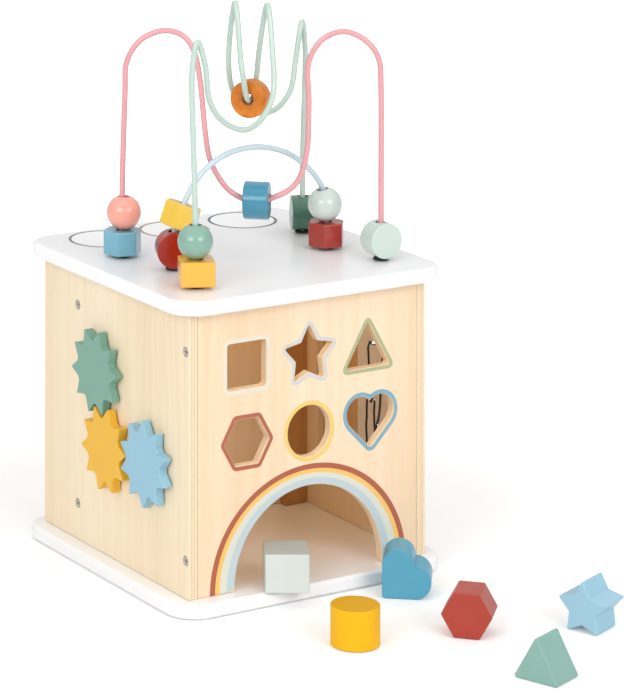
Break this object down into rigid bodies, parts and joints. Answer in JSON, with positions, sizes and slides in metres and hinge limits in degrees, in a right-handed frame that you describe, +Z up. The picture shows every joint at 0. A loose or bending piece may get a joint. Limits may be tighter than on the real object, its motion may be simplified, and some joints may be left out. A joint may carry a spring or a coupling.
{
  "type": "wooden activity cube",
  "caption": "Wooden activity cube: shape-sorter panel with arched doorway, meshing gears, slotted board, bead maze on bent wires, and loose blocks.",
  "frame": {"origin": "middle of the base plate's resting face, on the ground", "axes": "+X is the right side, -Y is the shape-sorter front, +Z is up"},
  "size_m": [0.2978, 0.5125, 0.4655],
  "materials": {
    "birch_plywood": "clear satin birch veneer with vertical grain",
    "white_lacquer": "satin white lacquer on wood",
    "screw_steel": "zinc plated steel",
    "black_rubber": "matt black rubber",
    "pink_wire_coat": "semi-gloss plastic coat on steel wire",
    "green_wire_coat": "semi-gloss plastic coat on steel wire",
    "blue_wire_coat": "semi-gloss plastic coat on steel wire",
    "paint_green_gear": "semi-gloss paint on wood",
    "paint_yellow_gear": "semi-gloss paint on wood",
    "paint_blue_gear": "semi-gloss paint on wood",
    "paint_blue_hexagon_bead": "semi-gloss paint on wood",
    "paint_coral_sphere_bead": "semi-gloss paint on wood",
    "paint_yellow_square_bead": "semi-gloss paint on wood",
    "paint_sage_sphere_bead": "semi-gloss paint on wood",
    "paint_red_disc_bead": "semi-gloss paint on wood",
    "paint_yellow_hexagon_bead": "semi-gloss paint on wood",
    "paint_red_hexagon_bead": "semi-gloss paint on wood",
    "paint_mint_sphere_bead": "semi-gloss paint on wood",
    "paint_green_disc_bead": "semi-gloss paint on wood",
    "paint_pale_disc_bead": "semi-gloss paint on wood",
    "paint_blue_cylinder_bead": "semi-gloss paint on wood",
    "paint_orange_disc_bead": "semi-gloss stain on wood",
    "paint_square_block": "semi-gloss paint on wood",
    "paint_round_block": "semi-gloss paint on wood",
    "paint_heart_block": "semi-gloss paint on wood",
    "paint_hexagon_block": "semi-gloss paint on wood",
    "paint_triangle_block": "semi-gloss paint on wood",
    "paint_star_block": "semi-gloss paint on wood",
    "paint_coral_slider": "semi-gloss paint on wood",
    "paint_blue_slider": "semi-gloss paint on wood",
    "paint_yellow_slider": "semi-gloss paint on wood"
  },
  "bodies": {
    "carcass": {"back_wall": "birch_plywood", "base_plate": "white_lacquer", "blue_wire": "blue_wire_coat", "board_screw_1": "screw_steel", "board_screw_2": "screw_steel", "board_screw_3": "screw_steel", "board_screw_4": "screw_steel", "front_panel": "birch_plywood", "green_wire": "green_wire_coat", "left_batten": "birch_plywood", "left_panel": "birch_plywood", "left_screw_1": "screw_steel", "left_screw_2": "screw_steel", "left_screw_3": "screw_steel", "left_screw_4": "screw_steel", "maze_board": "birch_plywood", "pink_wire": "pink_wire_coat", "right_batten": "birch_plywood", "right_panel": "birch_plywood", "right_screw_1": "screw_steel", "right_screw_2": "screw_steel", "right_screw_3": "screw_steel", "right_screw_4": "screw_steel", "top_plate": "white_lacquer", "top_plug_left": "white_lacquer", "top_plug_right": "white_lacquer", "washer_blue_left": "black_rubber", "washer_blue_right": "black_rubber", "washer_green_back": "black_rubber", "washer_green_front": "black_rubber", "washer_pink_left": "black_rubber", "washer_pink_right": "black_rubber"},
    "yellow_gear": {"yellow_gear": "paint_yellow_gear", "yellow_gear_dowel": "birch_plywood"},
    "green_gear": {"green_gear": "paint_green_gear", "green_gear_dowel": "birch_plywood"},
    "blue_gear": {"blue_gear": "paint_blue_gear", "blue_gear_dowel": "birch_plywood"},
    "blue_hexagon_bead": {"blue_hexagon_bead": "paint_blue_hexagon_bead"},
    "coral_sphere_bead": {"coral_sphere_bead": "paint_coral_sphere_bead"},
    "yellow_square_bead": {"yellow_square_bead": "paint_yellow_square_bead"},
    "sage_sphere_bead": {"sage_sphere_bead": "paint_sage_sphere_bead"},
    "red_disc_bead": {"red_disc_bead": "paint_red_disc_bead"},
    "yellow_hexagon_bead": {"yellow_hexagon_bead": "paint_yellow_hexagon_bead"},
    "red_hexagon_bead": {"red_hexagon_bead": "paint_red_hexagon_bead"},
    "mint_sphere_bead": {"mint_sphere_bead": "paint_mint_sphere_bead"},
    "green_disc_bead": {"green_disc_bead": "paint_green_disc_bead"},
    "pale_disc_bead": {"pale_disc_bead": "paint_pale_disc_bead"},
    "blue_cylinder_bead": {"blue_cylinder_bead": "paint_blue_cylinder_bead"},
    "orange_disc_bead": {"orange_disc_bead": "paint_orange_disc_bead"},
    "coral_slider": {"coral_slider": "paint_coral_slider"},
    "blue_slider": {"blue_slider": "paint_blue_slider"},
    "yellow_slider": {"yellow_slider": "paint_yellow_slider"},
    "square_block": {"square_block": "paint_square_block"},
    "round_block": {"round_block": "paint_round_block"},
    "heart_block": {"heart_block": "paint_heart_block"},
    "hexagon_block": {"hexagon_block": "paint_hexagon_block"},
    "triangle_block": {"triangle_block": "paint_triangle_block"},
    "star_block": {"star_block": "paint_star_block"}
  },
  "joints": [
    {"name": "yellow_gear_spin", "type": "hinge", "parent": "carcass", "child": "yellow_gear", "pos_m": [-0.115, 0.0031, 0.1025], "axis": [1, 0, 0], "continuous": true},
    {"name": "green_gear_spin", "type": "hinge", "parent": "carcass", "child": "green_gear", "pos_m": [-0.115, 0.01883, 0.16247], "axis": [1, 0, 0], "continuous": true},
    {"name": "blue_gear_spin", "type": "hinge", "parent": "carcass", "child": "blue_gear", "pos_m": [-0.115, -0.05876, 0.10661], "axis": [1, 0, 0], "continuous": true},
    {"name": "blue_hexagon_spin", "type": "hinge", "parent": "carcass", "child": "blue_hexagon_bead", "pos_m": [-0.088, 0.032, 0.2636], "axis": [0, 0, 1], "continuous": true},
    {"name": "coral_sphere_slide", "type": "slide", "parent": "carcass", "child": "coral_sphere_bead", "axis": [0, 0, 1], "range_m": [0, 0.04]},
    {"name": "yellow_square_spin", "type": "hinge", "parent": "carcass", "child": "yellow_square_bead", "pos_m": [-0.0891, -0.0855, 0.2636], "axis": [0, 0, 1], "continuous": true},
    {"name": "sage_sphere_slide", "type": "slide", "parent": "carcass", "child": "sage_sphere_bead", "axis": [0, 0, 1], "range_m": [0, 0.04]},
    {"name": "red_disc_spin", "type": "hinge", "parent": "carcass", "child": "red_disc_bead", "pos_m": [-0.075, -0.028, 0.2682], "axis": [0, 0, 1], "continuous": true},
    {"name": "yellow_hexagon_spin", "type": "hinge", "parent": "carcass", "child": "yellow_hexagon_bead", "pos_m": [-0.0684, -0.028, 0.2946], "axis": [0.3159, -0.0788, 0.9455], "continuous": true},
    {"name": "red_hexagon_spin", "type": "hinge", "parent": "carcass", "child": "red_hexagon_bead", "pos_m": [0.076, -0.028, 0.2636], "axis": [0, 0, 1], "continuous": true},
    {"name": "mint_sphere_spin", "type": "hinge", "parent": "carcass", "child": "mint_sphere_bead", "pos_m": [0.0748, -0.028, 0.28791], "axis": [-0.2079, 0, 0.9781], "continuous": true},
    {"name": "green_disc_slide", "type": "slide", "parent": "carcass", "child": "green_disc_bead", "axis": [0, 0, 1], "range_m": [0, 0.06]},
    {"name": "pale_disc_slide", "type": "slide", "parent": "carcass", "child": "pale_disc_bead", "axis": [0, 0, 1], "range_m": [0, 0.09]},
    {"name": "blue_cylinder_spin", "type": "hinge", "parent": "carcass", "child": "blue_cylinder_bead", "pos_m": [0.0058, -0.029, 0.2989], "axis": [0.7547, -0.6561, 0], "continuous": true},
    {"name": "orange_disc_spin", "type": "hinge", "parent": "carcass", "child": "orange_disc_bead", "pos_m": [0, -0.0285, 0.3843], "axis": [0.8049, 0.5934, 0], "continuous": true},
    {"name": "coral_slider_travel", "type": "slide", "parent": "carcass", "child": "coral_slider", "axis": [0, -0.0839, 0.9965], "range_m": [-0.022, 0.01]},
    {"name": "blue_slider_travel", "type": "slide", "parent": "carcass", "child": "blue_slider", "axis": [0, -0.0866, 0.9962], "range_m": [-0.019, 0.012]},
    {"name": "yellow_slider_travel", "type": "slide", "parent": "carcass", "child": "yellow_slider", "axis": [0, 0, 1], "range_m": [-0.03, 0.01]},
    {"name": "square_block_slide", "type": "slide", "parent": "carcass", "child": "square_block", "axis": [0, 1, 0], "range_m": [-0.018, 0.12]},
    {"name": "round_block_lift", "type": "slide", "parent": "carcass", "child": "round_block", "axis": [0, 0, 1], "range_m": [0, 0.1]},
    {"name": "heart_block_lift", "type": "slide", "parent": "carcass", "child": "heart_block", "axis": [0, 0, 1], "range_m": [0, 0.1]},
    {"name": "hexagon_block_lift", "type": "slide", "parent": "carcass", "child": "hexagon_block", "axis": [0, 0, 1], "range_m": [0, 0.1]},
    {"name": "triangle_block_lift", "type": "slide", "parent": "carcass", "child": "triangle_block", "axis": [0, 0, 1], "range_m": [0, 0.1]},
    {"name": "star_block_lift", "type": "slide", "parent": "carcass", "child": "star_block", "axis": [0, 0, 1], "range_m": [0, 0.1]}
  ],
  "couplings": [
    {"joint": "green_gear_spin", "follows": "yellow_gear_spin", "ratio": -1},
    {"joint": "blue_gear_spin", "follows": "yellow_gear_spin", "ratio": -1}
  ]
}
